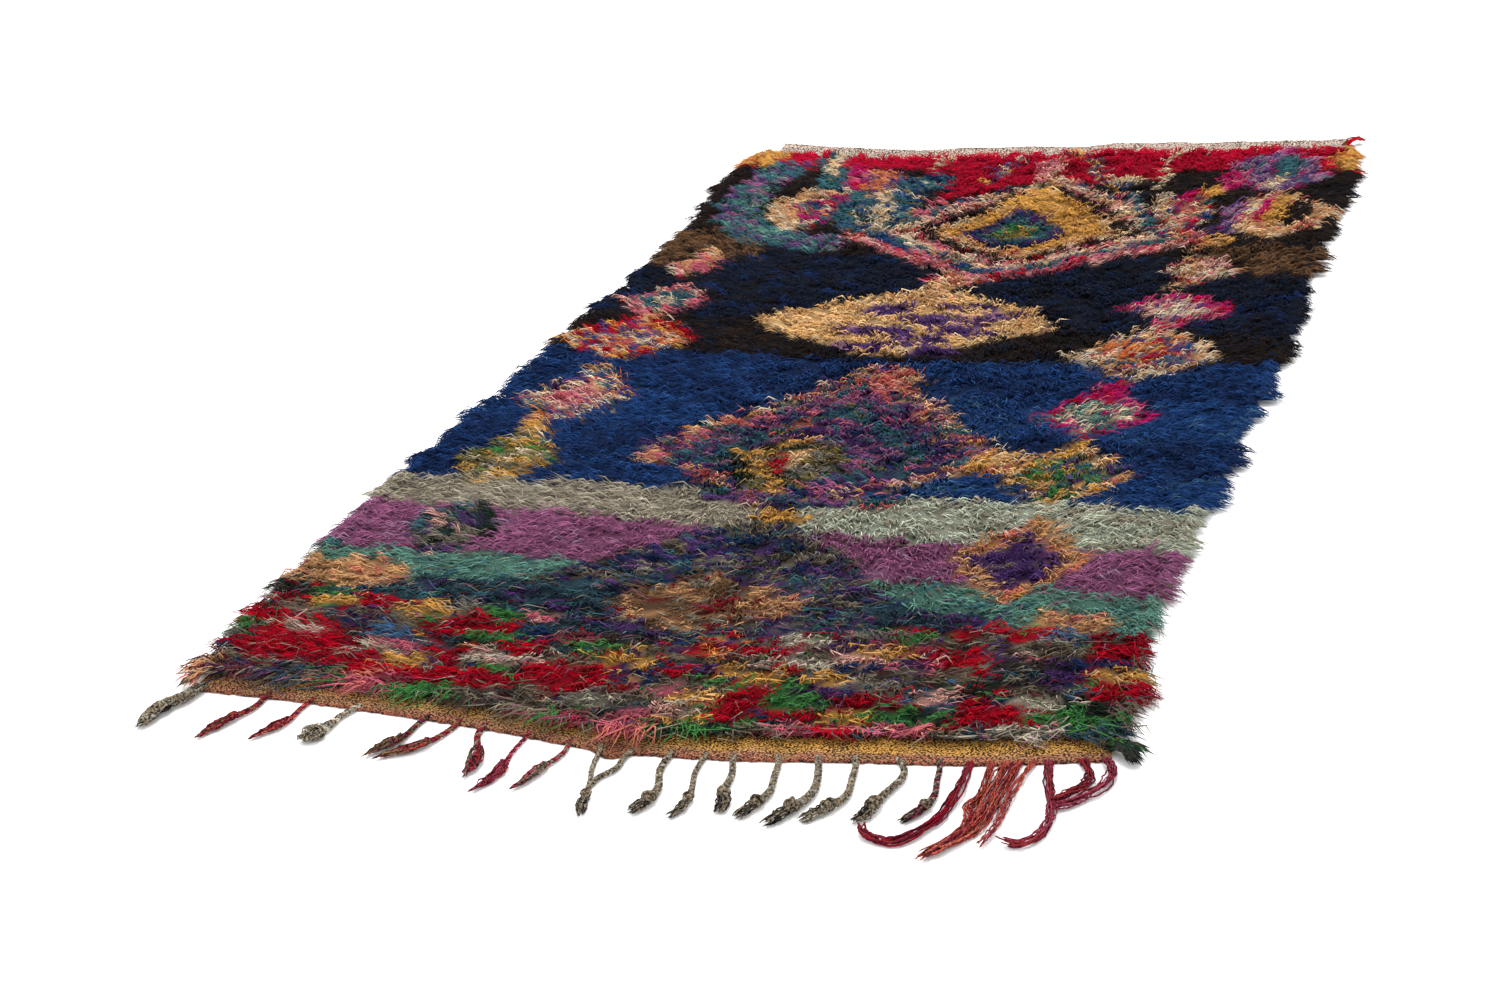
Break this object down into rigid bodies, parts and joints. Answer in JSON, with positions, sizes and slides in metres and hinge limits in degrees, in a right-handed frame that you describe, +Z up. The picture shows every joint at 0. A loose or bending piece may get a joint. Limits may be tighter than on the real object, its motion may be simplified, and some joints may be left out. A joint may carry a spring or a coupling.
{
  "type": "boucherouite rug",
  "caption": "Long shaggy hand-knotted rug with lumpy pile, ragged locks at its rim, flat-woven ends and a fringe of knotted warps at one end.",
  "frame": {"origin": "on the underside, in the middle of the pile's width and length", "axes": "+Z up out of the pile, +Y along the rug towards the plain end, -Y towards the fringed end, +X across it"},
  "size_m": [1.2923, 2.8807, 0.0332],
  "materials": {
    "pile": "matt, shaggy wool and rag pile in bands and lozenges of many colours on a deep blue ground",
    "fringe": "matt, orange and mustard flat-woven hem with braided warps in dark red, salt-and-pepper grey and magenta"
  },
  "bodies": {
    "root": {"rug": "pile", "fringe": "fringe"}
  },
  "joints": []
}
